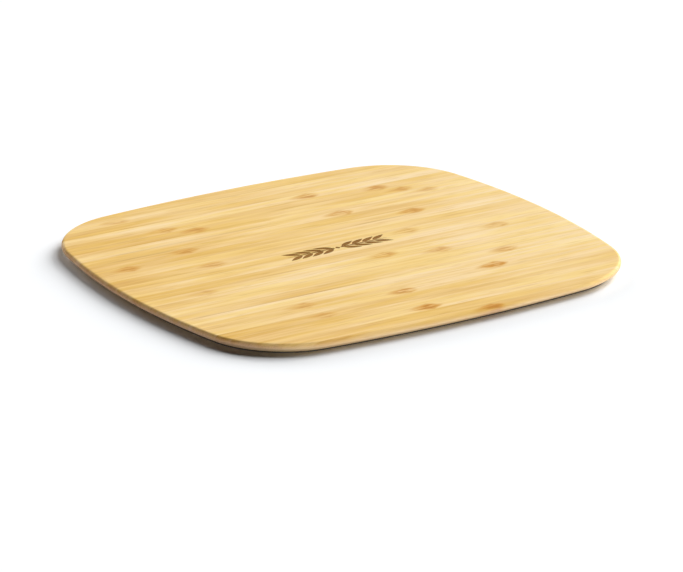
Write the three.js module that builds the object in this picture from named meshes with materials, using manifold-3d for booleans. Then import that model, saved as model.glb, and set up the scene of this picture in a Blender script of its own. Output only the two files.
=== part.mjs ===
// A thin cutting board of solid bamboo on a black non-slip base. Full-length staves are glued edge to
// edge, and the blank is cut to a bowed rectangle with an eased top edge. Its rim is bevelled under all
// round, for fingers to lift, and the base is a thin sheet of rubber bonded to the flat that is left.
//
// Millimetres, +Z up. X runs along the staves and Y across them, with the front edge at -Y.
// The origin is the middle of the underside, on the surface that the board stands on.
import * as THREE from 'three';
import { LoftGeometry } from 'three/addons/geometries/LoftGeometry.js';
import { mergeVertices } from 'three/addons/utils/BufferGeometryUtils.js';
import Module from 'manifold-3d';

// Outline, seen from above
const boardLength = 330; // along the staves, on the centre line
const boardWidth = 298; // across the staves, on the centre line
const endBow = 23; // rise of the arc that each end would follow over the full width
const sideBow = 13.5; // rise of the arc that each long side would follow over the full length
const cornerRadius = 65;

// Section of the bamboo
const bambooThickness = 6.6;
const topEasing = 2.2; // radius that rounds the top edge over
const undercut = 5.2; // how far the bevel under the rim runs in from the outline

// Base
const baseThickness = 0.8;
const baseSetback = 0.2; // how far the base's edge stands back from the bevel's lower edge

// Staves
const staveWidth = 11;
const seamOffset = 1; // the blank isn't cut on its own middle: a seam lies this far behind the centre line
const narrowestStave = 4; // the rim leaves at least this much of a stave, or its neighbour fills its place
const glueLine = 0.1; // between one stave and the next, and between the staves and the base

// How finely the curves are cut into flats
const endSteps = 12;
const sideSteps = 16;
const cornerSteps = 10;
const easingSteps = 5;
const bevelSteps = 3; // from the rim's widest line down to the bevel

// Bamboo tones from pale to toasted, and the order in which they turn up across the board
const tones = { pale: '#f0cd8c', straw: '#e8bd78', honey: '#dcaa5e', toasted: '#cf9650' };
const toneOrder = ['honey', 'straw', 'pale', 'straw', 'toasted', 'straw', 'pale', 'honey', 'straw'];
const rubberColour = '#1b1b1c';

const halfLength = boardLength / 2;
const halfWidth = boardWidth / 2;
const bambooUnderside = baseThickness + glueLine;

// Radius of the arc that rises by rise over a chord of twice halfChord
const bowRadius = (halfChord, rise) => (halfChord ** 2 + rise ** 2) / (2 * rise);

// The eight arcs of the outline, counterclockwise from the right-hand end. Neighbours share their
// tangent, so every inset of the outline is the same arcs with that much less radius.
function outlineArcs() {
  const endRadius = bowRadius(halfWidth, endBow);
  const sideRadius = bowRadius(halfLength, sideBow);
  const endCentre = new THREE.Vector2(halfLength - endRadius, 0);
  const sideCentre = new THREE.Vector2(0, halfWidth - sideRadius);

  // The corner's centre is endRadius - cornerRadius from one and sideRadius - cornerRadius from the other
  const toSide = sideCentre.clone().sub(endCentre);
  const apart = toSide.length();
  const fromEnd = endRadius - cornerRadius;
  const fromSide = sideRadius - cornerRadius;
  const along = (fromEnd ** 2 - fromSide ** 2 + apart ** 2) / (2 * apart);
  const beside = Math.sqrt(fromEnd ** 2 - along ** 2);
  const direction = toSide.normalize();
  const corner = endCentre.clone().addScaledVector(direction, along);
  corner.addScaledVector(new THREE.Vector2(-direction.y, direction.x), beside);

  const endAngle = corner.clone().sub(endCentre).angle(); // where an end meets its corner
  const sideAngle = corner.clone().sub(sideCentre).angle(); // where a corner meets its long side
  const arc = (x, y, radius, start, end, steps) => ({ x, y, radius, start, end, steps });
  const cornerArc = (x, y, start, end) => arc(x, y, cornerRadius, start, end, cornerSteps);
  const turn = Math.PI;
  return [
    arc(endCentre.x, 0, endRadius, -endAngle, endAngle, endSteps),
    cornerArc(corner.x, corner.y, endAngle, sideAngle),
    arc(0, sideCentre.y, sideRadius, sideAngle, turn - sideAngle, sideSteps),
    cornerArc(-corner.x, corner.y, turn - sideAngle, turn - endAngle),
    arc(-endCentre.x, 0, endRadius, turn - endAngle, turn + endAngle, endSteps),
    cornerArc(-corner.x, -corner.y, turn + endAngle, turn + sideAngle),
    arc(0, -sideCentre.y, sideRadius, turn + sideAngle, 2 * turn - sideAngle, sideSteps),
    cornerArc(corner.x, -corner.y, 2 * turn - sideAngle, 2 * turn - endAngle),
  ];
}

// The bamboo rim's section from its underside up, as insets from the outline and heights. The bevel
// runs up and out from the flat underside, and meets the circle that eases the top edge at a tangent.
function rimProfile() {
  const radius = topEasing;
  const rise = bambooThickness - radius; // from the underside to the circle's centre
  const inward = undercut - radius;
  const tangent = Math.atan2(-rise, -inward) + Math.acos(radius / Math.hypot(inward, rise));
  const arc = (start, end, steps) =>
    new THREE.EllipseCurve(-radius, rise, radius, radius, start, end).getPoints(steps);
  const easing = [...arc(tangent, 0, bevelSteps), ...arc(0, Math.PI / 2, easingSteps).slice(1)];
  const points = [new THREE.Vector2(-undercut, 0), ...easing];
  return points.map((point) => ({ inset: -point.x, z: bambooUnderside + point.y }));
}

// The base's edge is cut square
const baseProfile = () => [
  { inset: undercut + baseSetback, z: 0 },
  { inset: undercut + baseSetback, z: baseThickness },
];

// A slab with the board's outline and the given section round its edge
function slabGeometry(profile) {
  const arcs = outlineArcs();
  const ring = ({ inset, z }) =>
    arcs.flatMap(({ x, y, radius, start, end, steps }) => {
      const curve = new THREE.EllipseCurve(x, y, radius - inset, radius - inset, start, end);
      const points = curve.getPoints(steps).slice(0, -1);
      return points.map((point) => new THREE.Vector3(point.x, point.y, z));
    });
  return new LoftGeometry(profile.map(ring), { capStart: true, capEnd: true });
}

// Where the blank's seams cross the board, from front to back
function seamPlaces() {
  const outermost = halfWidth - narrowestStave;
  const before = Math.floor((outermost + seamOffset) / staveWidth);
  const after = Math.floor((outermost - seamOffset) / staveWidth);
  return Array.from({ length: before + after + 1 }, (_, i) => seamOffset + (i - before) * staveWidth);
}

const wasm = await Module();
wasm.setup();

function solidOf(geometry) {
  const bare = new THREE.BufferGeometry().copy(geometry);
  bare.deleteAttribute('normal');
  bare.deleteAttribute('uv');
  const merged = mergeVertices(bare);
  const vertProperties = merged.attributes.position.array;
  const triVerts = new Uint32Array(merged.index.array);
  return new wasm.Manifold(new wasm.Mesh({ numProp: 3, vertProperties, triVerts }));
}

function geometryOf(solid) {
  const { vertProperties, triVerts } = solid.getMesh();
  const indexed = new THREE.BufferGeometry();
  indexed.setAttribute('position', new THREE.BufferAttribute(vertProperties, 3));
  indexed.setIndex(new THREE.BufferAttribute(triVerts, 1));
  const geometry = indexed.toNonIndexed();
  geometry.computeVertexNormals();
  return geometry;
}

function pieceMesh(geometry, name, color, roughness) {
  const mesh = new THREE.Mesh(geometry, new THREE.MeshStandardMaterial({ color, roughness, metalness: 0 }));
  mesh.name = name;
  return mesh;
}

// The strip of the blank between two lines along it, as a mesh that stands on its own middle
function stave(blank, front, back, name, colour) {
  const middle = (front + back) / 2;
  const slot = new THREE.BoxGeometry(2 * boardLength, back - front, 4 * bambooThickness);
  slot.translate(0, middle, bambooUnderside);
  const geometry = geometryOf(blank.intersect(solidOf(slot)));
  geometry.translate(0, -middle, 0);
  const mesh = pieceMesh(geometry, name, colour, 0.5);
  mesh.position.y = middle;
  return mesh;
}

const cuttingBoard = new THREE.Group();
const baseGeometry = geometryOf(solidOf(slabGeometry(baseProfile())));
cuttingBoard.add(pieceMesh(baseGeometry, 'nonslip_base', rubberColour, 0.8));

const blank = solidOf(slabGeometry(rimProfile()));
const seams = seamPlaces();
const fronts = [-boardWidth, ...seams.map((seam) => seam + glueLine / 2)];
const backs = [...seams.map((seam) => seam - glueLine / 2), boardWidth];
fronts.forEach((front, i) => {
  const name = `stave_${String(i + 1).padStart(2, '0')}`;
  const colour = tones[toneOrder[i % toneOrder.length]];
  cuttingBoard.add(stave(blank, front, backs[i], name, colour));
});

export default cuttingBoard;
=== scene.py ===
"""Cutting board: solid bamboo staves on a thin black non-slip base, on a white studio floor.

Metres, +Z up. X runs along the staves, the front edge is at -Y and the origin is on the floor.
"""
import math

import bmesh
import bpy
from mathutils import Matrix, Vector


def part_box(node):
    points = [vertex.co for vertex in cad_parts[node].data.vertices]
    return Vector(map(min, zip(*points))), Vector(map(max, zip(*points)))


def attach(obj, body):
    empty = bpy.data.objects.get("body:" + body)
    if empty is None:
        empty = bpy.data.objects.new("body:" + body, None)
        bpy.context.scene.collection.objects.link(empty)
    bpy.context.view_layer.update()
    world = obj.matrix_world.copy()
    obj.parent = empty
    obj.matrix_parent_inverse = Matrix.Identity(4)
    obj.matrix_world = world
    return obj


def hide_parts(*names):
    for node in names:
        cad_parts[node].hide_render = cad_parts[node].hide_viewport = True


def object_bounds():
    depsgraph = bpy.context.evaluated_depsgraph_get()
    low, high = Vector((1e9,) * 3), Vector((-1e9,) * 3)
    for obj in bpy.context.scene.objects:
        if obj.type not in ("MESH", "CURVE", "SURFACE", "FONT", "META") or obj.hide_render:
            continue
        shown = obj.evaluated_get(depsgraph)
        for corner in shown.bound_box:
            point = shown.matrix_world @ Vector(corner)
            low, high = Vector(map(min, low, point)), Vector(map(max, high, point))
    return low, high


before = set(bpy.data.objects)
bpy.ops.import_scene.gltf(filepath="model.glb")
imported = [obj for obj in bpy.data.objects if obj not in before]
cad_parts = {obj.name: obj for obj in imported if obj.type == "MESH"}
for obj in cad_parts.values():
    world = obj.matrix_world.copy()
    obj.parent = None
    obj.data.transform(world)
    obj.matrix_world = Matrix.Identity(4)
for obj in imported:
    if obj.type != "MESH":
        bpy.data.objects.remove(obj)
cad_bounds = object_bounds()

MM = 0.001

# ---------------------------------------------------------------- sizes, from the frame
STAVES = sorted(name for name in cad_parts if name.startswith("stave_"))
BASE = "nonslip_base"

board_high = Vector(cad_bounds[1])
base_high = Vector(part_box(BASE)[1])

HALF_LENGTH = board_high.x
HALF_WIDTH = board_high.y
TOP = board_high.z
BASE_TOP = base_high.z
BASE_SETBACK = HALF_LENGTH - base_high.x

# Outline and rim, as in the CAD source
END_BOW = 23 * MM
SIDE_BOW = 13.5 * MM
CORNER_RADIUS = 65 * MM
TOP_EASING = 2.2 * MM
UNDERCUT = 5.2 * MM
BASE_EASING = 0.1 * MM
GLUE = 0.02 * MM
HALF_STAVE = 5.5 * MM  # half the distance between two seams
SUPPORT = 0.4 * MM  # flat border inside each eased edge, which keeps the flat faces' shading flat
CREASE_ANGLE = math.radians(32)  # edges sharper than this are shaded sharp

END_STEPS, SIDE_STEPS, CORNER_STEPS, EASING_STEPS = 72, 80, 40, 18


# ---------------------------------------------------------------- outline
def bow_radius(half_chord, rise):
    return (half_chord**2 + rise**2) / (2 * rise)


def outline_arcs():
    """The eight arcs of the outline as (centre, radius, start, end, steps), counterclockwise."""
    end_radius = bow_radius(HALF_WIDTH, END_BOW)
    side_radius = bow_radius(HALF_LENGTH, SIDE_BOW)
    end_centre = Vector((HALF_LENGTH - end_radius, 0))
    side_centre = Vector((0, HALF_WIDTH - side_radius))
    to_side = side_centre - end_centre
    apart = to_side.length
    from_end = end_radius - CORNER_RADIUS
    from_side = side_radius - CORNER_RADIUS
    along = (from_end**2 - from_side**2 + apart**2) / (2 * apart)
    beside = math.sqrt(from_end**2 - along**2)
    direction = to_side.normalized()
    corner = end_centre + direction * along + Vector((-direction.y, direction.x)) * beside
    end_angle = math.atan2(corner.y - end_centre.y, corner.x - end_centre.x)
    side_angle = math.atan2(corner.y - side_centre.y, corner.x - side_centre.x)

    def corner_arc(x, y, start, end):
        return (Vector((x, y)), CORNER_RADIUS, start, end, CORNER_STEPS)

    turn = math.pi
    return [
        (end_centre, end_radius, -end_angle, end_angle, END_STEPS),
        corner_arc(corner.x, corner.y, end_angle, side_angle),
        (side_centre, side_radius, side_angle, turn - side_angle, SIDE_STEPS),
        corner_arc(-corner.x, corner.y, turn - side_angle, turn - end_angle),
        (-end_centre, end_radius, turn - end_angle, turn + end_angle, END_STEPS),
        corner_arc(-corner.x, -corner.y, turn + end_angle, turn + side_angle),
        (-side_centre, side_radius, turn + side_angle, 2 * turn - side_angle, SIDE_STEPS),
        corner_arc(corner.x, -corner.y, 2 * turn - side_angle, 2 * turn - end_angle),
    ]


def outline_ring(inset, z):
    """The outline's points, moved inwards by inset, at height z."""
    points = []
    for centre, radius, start, end, steps in outline_arcs():
        for i in range(steps):
            angle = start + (end - start) * i / steps
            out = Vector((math.cos(angle), math.sin(angle)))
            points.append((centre + out * (radius - inset)).to_3d() + Vector((0, 0, z)))
    return points


def bamboo_section():
    """(inset, height) pairs up the bamboo rim: a bevel, then a circle that meets it at a tangent."""
    bottom = BASE_TOP + GLUE
    radius = TOP_EASING
    inward, rise = UNDERCUT - radius, TOP - radius - bottom
    tangent = math.atan2(-rise, -inward) + math.acos(radius / math.hypot(inward, rise))
    section = [(UNDERCUT + SUPPORT, bottom), (UNDERCUT, bottom)]
    for i in range(EASING_STEPS + 1):
        angle = tangent + (math.pi / 2 - tangent) * i / EASING_STEPS
        section.append((radius * (1 - math.cos(angle)), TOP - radius * (1 - math.sin(angle))))
    section.append((radius + SUPPORT, TOP))
    return section


def base_section():
    """(inset, height) pairs up the edge of the base, cut square with its corners just broken."""
    edge = BASE_SETBACK
    return [
        (edge + SUPPORT, 0.0),
        (edge + BASE_EASING, 0.0),
        (edge, BASE_EASING),
        (edge, BASE_TOP - BASE_EASING),
        (edge + BASE_EASING, BASE_TOP),
        (edge + SUPPORT, BASE_TOP),
    ]


def slab(section):
    """A closed slab with the board's outline and the given section round its edge, as a bmesh."""
    bm = bmesh.new()
    rings = [[bm.verts.new(p) for p in outline_ring(inset, z)] for inset, z in section]
    for lower, upper in zip(rings, rings[1:]):
        for i in range(len(lower)):
            bm.faces.new((lower[i - 1], lower[i], upper[i], upper[i - 1]))
    bm.faces.new(list(reversed(rings[0])))
    bm.faces.new(rings[-1])
    return bm


def keep_side(bm, y, outer):
    """Cuts the solid at a plane across Y, keeps one side of it and closes the cut."""
    direction = -1 if outer else 1
    everything = bm.verts[:] + bm.edges[:] + bm.faces[:]
    cut = bmesh.ops.bisect_plane(
        bm, geom=everything, plane_co=(0, y, 0), plane_no=(0, direction, 0), clear_outer=True, dist=1e-7
    )
    edges = [item for item in cut["geom_cut"] if isinstance(item, bmesh.types.BMEdge)]
    if edges:
        bmesh.ops.contextual_create(bm, geom=edges)


def finish_mesh(bm, name, material):
    """Turns a bmesh into a smooth-shaded object with crisp edges."""
    mesh = bpy.data.meshes.new(name)
    bm.to_mesh(mesh)
    bm.free()
    mesh.materials.append(material)
    mesh.shade_smooth()
    mesh.set_sharp_from_angle(angle=CREASE_ANGLE)
    piece = bpy.data.objects.new(name, mesh)
    bpy.context.scene.collection.objects.link(piece)
    return piece


# ---------------------------------------------------------------- materials
class Shader:
    """A material with short ways to add and join its nodes."""

    def __init__(self, name):
        self.material = bpy.data.materials.new(name)
        self.material.use_nodes = True
        self.nodes = self.material.node_tree.nodes
        self.bsdf = self.nodes["Principled BSDF"]

    def join(self, value, socket):
        if isinstance(value, bpy.types.NodeSocket):
            self.material.node_tree.links.new(value, socket)
        else:
            socket.default_value = value

    def node(self, kind, inputs=(), **settings):
        node = self.nodes.new(kind)
        for key, value in settings.items():
            setattr(node, key, value)
        for key, value in dict(inputs).items():
            self.join(value, node.inputs[key])
        return node

    def math(self, operation, *values, clamp=False):
        node = self.node("ShaderNodeMath", enumerate(values), operation=operation, use_clamp=clamp)
        return node.outputs[0]

    def vector(self, operation, *values):
        node = self.node("ShaderNodeVectorMath", enumerate(values), operation=operation)
        return node.outputs[0]

    def attribute(self, name):
        return self.node("ShaderNodeAttribute", attribute_name=name).outputs["Fac"]

    def position(self):
        return self.node("ShaderNodeTexCoord").outputs["Object"]

    def split(self, vector):
        return self.node("ShaderNodeSeparateXYZ", {0: vector}).outputs

    def combine(self, x, y, z):
        return self.node("ShaderNodeCombineXYZ", {0: x, 1: y, 2: z}).outputs[0]

    def stretched(self, place, along, across):
        """A place scaled one way along the fibres and another across them, for grain-shaped noise."""
        return self.vector("MULTIPLY", place, (along, across, across))

    def noise(self, vector, detail=2.0):
        inputs = {"Vector": vector, "Scale": 1.0, "Detail": detail}
        return self.node("ShaderNodeTexNoise", inputs).outputs["Fac"]

    def cells(self, vector, feature="F1"):
        inputs = {"Vector": vector, "Scale": 1.0}
        return self.node("ShaderNodeTexVoronoi", inputs, feature=feature).outputs["Distance"]

    def around(self, value, middle, amount):
        """How far a value is from its middle, times an amount."""
        return self.math("MULTIPLY", self.math("SUBTRACT", value, middle), amount)

    def span(self, value, low, high, to_low=0.0, to_high=1.0, smooth=True):
        kind = "SMOOTHSTEP" if smooth else "LINEAR"
        inputs = {"Value": value, "From Min": low, "From Max": high, "To Min": to_low, "To Max": to_high}
        return self.node("ShaderNodeMapRange", inputs, interpolation_type=kind).outputs["Result"]

    def ramp(self, value, stops):
        node = self.node("ShaderNodeValToRGB", {0: value})
        elements = node.color_ramp.elements
        while len(elements) < len(stops):
            elements.new(0.5)
        for element, (place, colour) in zip(elements, stops):
            element.position = place
            element.color = (*colour, 1) if isinstance(colour, tuple) else (colour, colour, colour, 1)
        return node.outputs[0]

    def mix(self, amount, first, second, blend="MIX"):
        node = self.node("ShaderNodeMix", data_type="RGBA", blend_type=blend)
        self.join(amount, node.inputs[0])
        for value, socket in ((first, node.inputs[6]), (second, node.inputs[7])):
            self.join((*value, 1) if isinstance(value, tuple) else value, socket)
        return node.outputs[2]

    def bump(self, height, distance, strength=1.0):
        inputs = {"Height": height, "Distance": distance, "Strength": strength}
        return self.node("ShaderNodeBump", inputs).outputs[0]

    def surface(self, **inputs):
        for key, value in inputs.items():
            self.join(value, self.bsdf.inputs[key.replace("_", " ")])


def bamboo_tones(s, x, own, broad, streak, fibre):
    """The plain wood: a slow drift along each stave, then broad bands, streaks and fine fibres, and a
    painted shade that darkens it towards the left end.
    """
    drift = s.noise(s.combine(s.math("MULTIPLY", x, 9.0), s.attribute("seed"), 0.0), detail=1.0)
    shade = s.math("ADD", s.attribute("tone"), s.around(drift, 0.5, 0.52))
    shade = s.math("ADD", shade, s.around(broad, 0.5, 0.55))
    shade = s.math("ADD", shade, s.around(streak, 0.5, 0.5))
    shade = s.math("ADD", shade, s.around(fibre, 0.45, 0.03))
    # painted shade: the wood gets darker towards the left (-X) end, as the light falls from the right
    shade = s.math("ADD", shade, s.around(x, 0.03, -0.85))
    colour = s.ramp(shade, [
        (0.0, (0.795, 0.625, 0.380)),
        (0.3, (0.758, 0.555, 0.280)),
        (0.5, (0.708, 0.480, 0.192)),
        (0.7, (0.636, 0.394, 0.122)),
        (1.0, (0.510, 0.263, 0.060)),
    ])
    golden = s.span(s.noise(s.stretched(own, 17.0, 180.0)), 0.38, 0.64, 0.0, 0.9)
    colour = s.mix(golden, colour, (1.0, 0.985, 0.74), "MULTIPLY")
    flecks = s.span(s.noise(s.stretched(own, 42.0, 800.0), detail=1.0), 0.58, 0.72, 0.0, 0.34)
    return s.mix(flecks, colour, (0.500, 0.262, 0.062))


def with_culm_nodes(s, colour, x, own, across):
    """Adds each culm node: a honey-coloured lens across the stave, with an uneven browner heart."""
    narrowing = s.math("MULTIPLY", s.math("MULTIPLY", across, across), 0.75)
    wander = s.around(s.noise(s.stretched(own, 90.0, 260.0)), 0.5, 7.0 * MM)
    patch = s.noise(s.stretched(own, 70.0, 480.0), detail=3.0)
    for number in (1, 2):
        off = s.math("ADD", s.math("SUBTRACT", x, s.attribute(f"node_{number}")), wander)
        reach = s.math("MAXIMUM", s.math("DIVIDE", off, 10 * MM), s.math("DIVIDE", off, -19 * MM))
        nearness = s.math("SUBTRACT", s.math("SUBTRACT", 1.0, reach), narrowing)
        mark = s.attribute(f"mark_{number}")
        honey = s.math("MULTIPLY", s.span(nearness, 0.0, 0.55), s.span(patch, 0.34, 0.54, 0.45, 1.0))
        colour = s.mix(s.math("MULTIPLY", honey, mark), colour, (0.570, 0.280, 0.042))
        heart = s.math("MULTIPLY", s.span(nearness, 0.35, 0.85), s.span(patch, 0.40, 0.60))
        colour = s.mix(s.math("MULTIPLY", heart, mark), colour, (0.450, 0.190, 0.028))
    return colour


def with_glue(s, colour, x, across, broad, streak):
    """Adds a faint glue line at each seam, and a dark one along part of a few seams."""
    edge = s.math("SUBTRACT", 1.0, s.math("ABSOLUTE", across))
    faint = s.math("MULTIPLY", s.span(edge, 0.0, 0.2, 0.2, 0.0), s.span(broad, 0.35, 0.65, 0.2, 1.0))
    colour = s.mix(faint, colour, (0.420, 0.235, 0.075))
    inside = s.math(
        "MULTIPLY",
        s.span(s.math("SUBTRACT", x, s.attribute("glue_from")), 0.0, 15 * MM),
        s.span(s.math("SUBTRACT", s.attribute("glue_to"), x), 0.0, 15 * MM),
    )
    line = s.span(s.math("ADD", across, 1.0), 0.0, 0.5, 0.5, 0.0)
    line = s.math("MULTIPLY", s.math("MULTIPLY", line, inside), s.span(streak, 0.3, 0.6, 0.4, 1.0))
    return s.mix(line, colour, (0.430, 0.240, 0.075))


def with_rim(s, colour, own):
    """Greys the rim more the further it turns down, as painted light from the white floor below, and
    darkens and dots it where it is end grain.
    """
    normal = s.split(s.node("ShaderNodeNewGeometry").outputs["Normal"])
    # painted light: the more the rim faces down, the more it is mixed towards a pale grey, standing in
    # for the neutral light it gets from the white floor
    colour = s.mix(s.span(normal[2], -0.60, 0.90, 0.52, 0.0), colour, (0.660, 0.535, 0.400))
    end_on = s.span(s.math("ABSOLUTE", normal[0]), 0.20, 0.80)
    dots = s.span(s.cells(s.stretched(own, 6.0, 1900.0)), 0.18, 0.5, 0.72, 1.0)
    darker = s.mix(1.0, colour, (0.76, 0.67, 0.73), "MULTIPLY")
    return s.mix(end_on, colour, s.mix(1.0, darker, dots, "MULTIPLY"))


def bamboo_material():
    """Bamboo with fibres along X. Each stave's own tone, seed and marks are attributes of its mesh."""
    s = Shader("bamboo")
    place = s.position()
    x, y = s.split(place)[:2]
    own = s.vector("ADD", place, s.combine(s.attribute("seed"), 0.0, 0.0))
    across = s.math("DIVIDE", s.math("SUBTRACT", y, s.attribute("centre")), HALF_STAVE)
    broad = s.noise(s.stretched(own, 11.0, 140.0))
    streak = s.noise(s.stretched(own, 18.0, 340.0), detail=3.0)
    fibre = s.cells(s.stretched(own, 26.0, 1300.0))

    colour = bamboo_tones(s, x, own, broad, streak, fibre)
    colour = with_culm_nodes(s, colour, x, own, across)
    colour = with_glue(s, colour, x, across, broad, streak)
    colour = with_rim(s, colour, own)
    rough = s.span(streak, 0.25, 0.75, 0.68, 0.80, smooth=False)
    relief = s.bump(s.math("MULTIPLY_ADD", fibre, 0.5, streak), 0.03 * MM)
    s.surface(Base_Color=colour, Roughness=rough, Specular_IOR_Level=0.06, Normal=relief)
    return s.material


def burnt_material():
    """Bamboo charred brown where the ornament is burnt into it, with the fibres still showing."""
    s = Shader("burnt bamboo")
    grain = s.noise(s.stretched(s.position(), 40.0, 1300.0), detail=3.0)
    colour = s.ramp(grain, [
        (0.30, (0.170, 0.072, 0.013)),
        (0.55, (0.260, 0.120, 0.024)),
        (0.75, (0.380, 0.195, 0.042)),
    ])
    rough = s.span(grain, 0.3, 0.7, 0.70, 0.86, smooth=False)
    relief = s.bump(grain, 0.05 * MM)
    s.surface(Base_Color=colour, Roughness=rough, Specular_IOR_Level=0.04, Normal=relief)
    return s.material


def rubber_material():
    """Matt black rubber sheet with a fine pebbled skin."""
    s = Shader("black rubber")
    place = s.position()
    pebble = s.cells(s.vector("MULTIPLY", place, (900.0, 900.0, 900.0)))
    cloud = s.noise(s.vector("MULTIPLY", place, (35.0, 35.0, 35.0)), detail=4.0)
    colour = s.ramp(cloud, [(0.3, (0.0095, 0.0095, 0.0105)), (0.7, (0.0165, 0.0165, 0.0170))])
    rough = s.span(pebble, 0.1, 0.7, 0.62, 0.82, smooth=False)
    relief = s.bump(pebble, 0.06 * MM, 0.6)
    s.surface(Base_Color=colour, Roughness=rough, Specular_IOR_Level=0.35, Normal=relief)
    return s.material


# ---------------------------------------------------------------- ornament
# A plain sprig of bamboo leaves, burnt a little way into the middle of the top
SPRIG_MIDDLE = Vector((0.0, 2.4 * MM))
SPRIG_DEPTH = 0.2 * MM
STEM_HALF_LENGTH = 40 * MM
STEM_WIDTH = 1.6 * MM
LEAF_LENGTH = 13 * MM
LEAF_WIDTH = 3.9 * MM
LEAF_TILT = math.radians(25)
LEAF_PAIRS = 4
LEAF_PITCH = 8.2 * MM
LEAF_GAP = 1.2 * MM  # from the middle of the stem to a leaf's root
STEM_START = 2.6 * MM  # from the middle of the sprig to each half of its stem
FIRST_LEAF = 3.8 * MM  # from the middle of the sprig to the first leaves' roots
DIAMOND_REACH = 2.0 * MM


def leaf_outline(root, tilt, length, width, steps=10):
    """A pointed leaf, broadest a little before its middle, as points counterclockwise."""
    along = Vector((math.cos(tilt), math.sin(tilt)))
    side = Vector((-along.y, along.x))
    fractions = [i / steps for i in range(steps + 1)]
    halves = [width / 2 * math.sin(math.pi * f**0.8) for f in fractions]
    lower = [root + along * length * f - side * half for f, half in zip(fractions, halves)]
    upper = [root + along * length * f + side * half for f, half in zip(fractions, halves)]
    return lower + upper[-2:0:-1]


def stem_outline(start, end, steps=16):
    """A stem along X that swells a little between its joints and comes to a point at its end."""
    length = end - start
    lower, upper = [], []
    for i in range(steps + 1):
        f = i / steps
        half = STEM_WIDTH / 2 * (1 - f**3) * (1 + 0.18 * math.cos(6 * math.pi * f))
        point = SPRIG_MIDDLE + Vector((start + length * f, 0))
        lower.append(point - Vector((0, half)))
        upper.append(point + Vector((0, half)))
    return lower + upper[-2::-1]


def sprig_outlines():
    """The stem's two halves, a diamond between them, and pairs of leaves that lean outwards."""
    outlines = []
    for way in (1, -1):
        stem = stem_outline(STEM_START, STEM_HALF_LENGTH)
        leaves = []
        for pair in range(LEAF_PAIRS):
            root_x = FIRST_LEAF + pair * LEAF_PITCH
            for lean in (1, -1):
                root = SPRIG_MIDDLE + Vector((root_x, lean * LEAF_GAP))
                leaves.append(leaf_outline(root, lean * LEAF_TILT, LEAF_LENGTH, LEAF_WIDTH))
        for outline in [stem] + leaves:
            outlines.append([Vector((way * point.x, point.y)) for point in outline])
    reach = DIAMOND_REACH
    diamond = [(reach, 0), (0, reach), (-reach, 0), (0, -reach)]
    outlines.append([SPRIG_MIDDLE + Vector(point) for point in diamond])
    return outlines


def build_sprig_cutter(material):
    """The solid that is cut out of the staves to make the sprig."""
    bm = bmesh.new()
    for outline in sprig_outlines():
        floor = [bm.verts.new((point.x, point.y, TOP - SPRIG_DEPTH)) for point in outline]
        face = bm.faces.new(floor)
        made = bmesh.ops.extrude_face_region(bm, geom=[face])["geom"]
        lifted = [item for item in made if isinstance(item, bmesh.types.BMVert)]
        bmesh.ops.translate(bm, verts=lifted, vec=(0, 0, 4 * SPRIG_DEPTH))
    bmesh.ops.recalc_face_normals(bm, faces=bm.faces)
    return finish_mesh(bm, "sprig_cutter", material)


def carve(piece, cutter):
    """Cuts the cutter out of a piece and leaves the cutter's material on the cut."""
    cut = piece.modifiers.new("sprig", "BOOLEAN")
    cut.object = cutter
    cut.operation = "DIFFERENCE"
    cut.solver = "EXACT"
    cut.material_mode = "TRANSFER"
    evaluated = piece.evaluated_get(bpy.context.evaluated_depsgraph_get())
    mesh = bpy.data.meshes.new_from_object(evaluated)
    piece.modifiers.clear()
    piece.data = mesh
    mesh.set_sharp_from_angle(angle=CREASE_ANGLE)


# ---------------------------------------------------------------- staves
# Culm-node marks, listed: stave number, place along it in mm, strength from 0 to 1
CULM_NODES = [
    (1, 23, 0.9), (3, -12, 0.95), (5, -76, 0.35), (6, -8.5, 0.7), (7, 70.5, 1.0), (7, -78, 0.45),
    (9, 94, 0.5), (11, 57, 0.55), (12, 20, 0.6), (12, -118, 0.3), (13, 118, 0.5), (15, 60, 0.35),
    (16, -85, 0.5), (18, 86, 0.7), (18, -137, 0.65), (19, -87, 0.65), (20, 42, 0.75), (21, 121, 0.35),
    (22, -60, 0.6), (22, 105, 0.45), (23, -78, 0.5), (23, 92, 0.6), (24, 42, 0.65), (26, -96, 0.4),
]
# Dark glue lines: the stave behind the seam, and the stretch in mm
DARK_GLUE = {9: (-158, -5), 18: (30, 84), 20: (-147, -84), 21: (-141, -8)}
# How toasted each stave is, from 0 (pale) to 1, front to back
STAVE_TONES = [
    0.56, 0.54, 0.34, 0.46, 0.50, 0.34, 0.36, 0.20, 0.38, 0.32, 0.26, 0.34, 0.44, 0.28,
    0.42, 0.46, 0.34, 0.44, 0.46, 0.42, 0.28, 0.50, 0.48, 0.28, 0.42, 0.38, 0.52, 0.40,
]
NOWHERE = 9.0  # metres along X, far from the board
SEED_STEP = 0.737  # metres between the places in the grain that two neighbours are cut from


def stave_facts(number, low, high):
    """The values that one stave's material reads, by attribute name."""
    centre = (low + high) / 2
    if number == 1:
        centre = high - HALF_STAVE
    if number == len(STAVES):
        centre = low + HALF_STAVE
    marks = [(along * MM, strength) for stave, along, strength in CULM_NODES if stave == number]
    marks += [(NOWHERE, 0.0)] * (2 - len(marks))
    glue = DARK_GLUE.get(number, (NOWHERE / MM, NOWHERE / MM))
    return {
        "tone": STAVE_TONES[number - 1],
        "seed": number * SEED_STEP,
        "centre": centre,
        "node_1": marks[0][0],
        "mark_1": marks[0][1],
        "node_2": marks[1][0],
        "mark_2": marks[1][1],
        "glue_from": glue[0] * MM,
        "glue_to": glue[1] * MM,
    }


def set_facts(mesh, facts):
    for name, value in facts.items():
        layer = mesh.attributes.new(name, "FLOAT", "POINT")
        layer.data.foreach_set("value", [value] * len(mesh.vertices))


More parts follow.
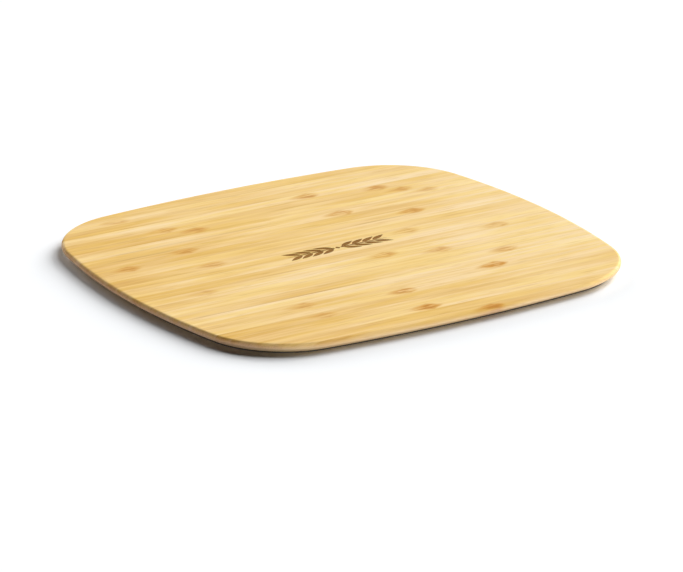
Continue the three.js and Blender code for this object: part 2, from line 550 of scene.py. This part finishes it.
def build_staves(material, cutter):
    blank = slab(bamboo_section())
    boxes = [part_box(name) for name in STAVES]
    seams = [(behind[0][1] + front[1][1]) / 2 for front, behind in zip(boxes, boxes[1:])]
    lows = [-HALF_WIDTH] + seams
    highs = seams + [HALF_WIDTH]
    sprig_low = min(vertex.co.y for vertex in cutter.data.vertices)
    sprig_high = max(vertex.co.y for vertex in cutter.data.vertices)
    staves = []
    for number, (node, low, high) in enumerate(zip(STAVES, lows, highs), 1):
        bm = blank.copy()
        if number > 1:
            keep_side(bm, low, outer=True)
        if number < len(STAVES):
            keep_side(bm, high, outer=False)
        piece = finish_mesh(bm, f"bamboo_{node}", material)
        if low < sprig_high and high > sprig_low:
            carve(piece, cutter)
        set_facts(piece.data, stave_facts(number, low, high))
        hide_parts(node)
        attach(piece, "root")
        staves.append(piece)
    blank.free()
    return staves


def build_base(material):
    piece = finish_mesh(slab(base_section()), "rubber_base", material)
    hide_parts(BASE)
    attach(piece, "root")
    return piece


# ---------------------------------------------------------------- studio
VIEW_AZIMUTH = math.radians(-32.58)
VIEW_ELEVATION = math.radians(19.15)
VIEW_DISTANCE = 15.98 * HALF_LENGTH
VIEW_TARGET = Vector((-0.235 * HALF_LENGTH, -0.381 * HALF_LENGTH, TOP))
LENS = 209.25


def build_camera():
    data = bpy.data.cameras.new("camera")
    camera = bpy.data.objects.new("camera", data)
    bpy.context.scene.collection.objects.link(camera)
    back = Vector((
        math.cos(VIEW_ELEVATION) * math.sin(VIEW_AZIMUTH),
        -math.cos(VIEW_ELEVATION) * math.cos(VIEW_AZIMUTH),
        math.sin(VIEW_ELEVATION),
    ))
    camera.location = Vector((0, 0, TOP)) + back * VIEW_DISTANCE
    camera.rotation_euler = (VIEW_TARGET - camera.location).to_track_quat("-Z", "Y").to_euler()
    data.sensor_width = 36
    data.lens = LENS
    data.clip_end = 100
    bpy.context.scene.camera = camera


def add_sun(name, bearing, elevation, light, softness):
    """A sun lamp that lights a surface facing it by the given share of full white light.

    Bearing is in degrees from the picture's right, counterclockwise from above.
    """
    angle = math.radians(bearing) + VIEW_AZIMUTH
    height = math.radians(elevation)
    level = Vector((math.cos(angle), math.sin(angle), 0))
    towards = level * math.cos(height) + Vector((0, 0, math.sin(height)))
    lamp = bpy.data.lights.new(name, "SUN")
    lamp.energy = light * math.pi
    lamp.angle = math.radians(softness)
    sun = bpy.data.objects.new(name, lamp)
    bpy.context.scene.collection.objects.link(sun)
    sun.rotation_euler = towards.to_track_quat("Z", "Y").to_euler()
    return sun


def light_only(lamp, pieces):
    """Keeps a lamp's light off everything but the given pieces."""
    lit = bpy.data.collections.new(f"{lamp.name} lights")
    for piece in pieces:
        lit.objects.link(piece)
    lamp.light_linking.receiver_collection = lit


def build_world():
    """White where the camera or a reflection looks past the floor, and no light of its own."""
    world = bpy.data.worlds.new("studio")
    bpy.context.scene.world = world
    world.use_nodes = True
    nodes, links = world.node_tree.nodes, world.node_tree.links
    background = nodes["Background"]
    background.inputs["Color"].default_value = (1, 1, 1, 1)
    path = nodes.new("ShaderNodeLightPath")
    seen = path.outputs["Is Camera Ray"]
    for other in ("Is Glossy Ray", "Is Transmission Ray"):
        either = nodes.new("ShaderNodeMath")
        either.operation = "MAXIMUM"
        links.new(seen, either.inputs[0])
        links.new(path.outputs[other], either.inputs[1])
        seen = either.outputs[0]
    links.new(seen, background.inputs["Strength"])


def build_floor():
    s = Shader("studio floor")
    cloud = s.noise(s.vector("MULTIPLY", s.position(), (3.0, 3.0, 3.0)))
    colour = s.ramp(cloud, [(0.0, (0.925, 0.940, 0.955)), (1.0, (0.940, 0.955, 0.970))])
    s.surface(Base_Color=colour, Roughness=0.9, Specular_IOR_Level=0.1)
    bm = bmesh.new()
    bmesh.ops.create_grid(bm, x_segments=8, y_segments=8, size=4.0)
    floor = finish_mesh(bm, "floor", s.material)


# Two low, wide sources behind and to the right, one above them, and one low at the back left
SUNS = [
    ("back low", 55, 16, 1.15, 32),
    ("right low", 22, 25, 0.44, 36),
    ("left low", 120, 11, 0.60, 26),
    ("back high", 55, 42, 0.70, 36),
]

# Three low ones on the camera's side, which light the board's rim and not the floor. The first isn't
# bounced either, so the floor under the front corner stays dark
BOARD_SUNS = [
    ("front fill", -70, 5, 0.38, 12),
    ("right fill", -20, 5, 0.50, 12),
    ("left fill", -168, 5, 0.22, 12),
]

build_camera()
build_world()
build_floor()
for sun in SUNS:
    add_sun(*sun)
sprig_cutter = build_sprig_cutter(burnt_material())
pieces = build_staves(bamboo_material(), sprig_cutter) + [build_base(rubber_material())]
bpy.data.objects.remove(sprig_cutter)
for sun in BOARD_SUNS:
    light_only(add_sun(*sun), pieces)
bpy.data.lights["front fill"].cycles.max_bounces = 0

bpy.context.scene.view_settings.view_transform = "Standard"

bpy.context.view_layer.update()
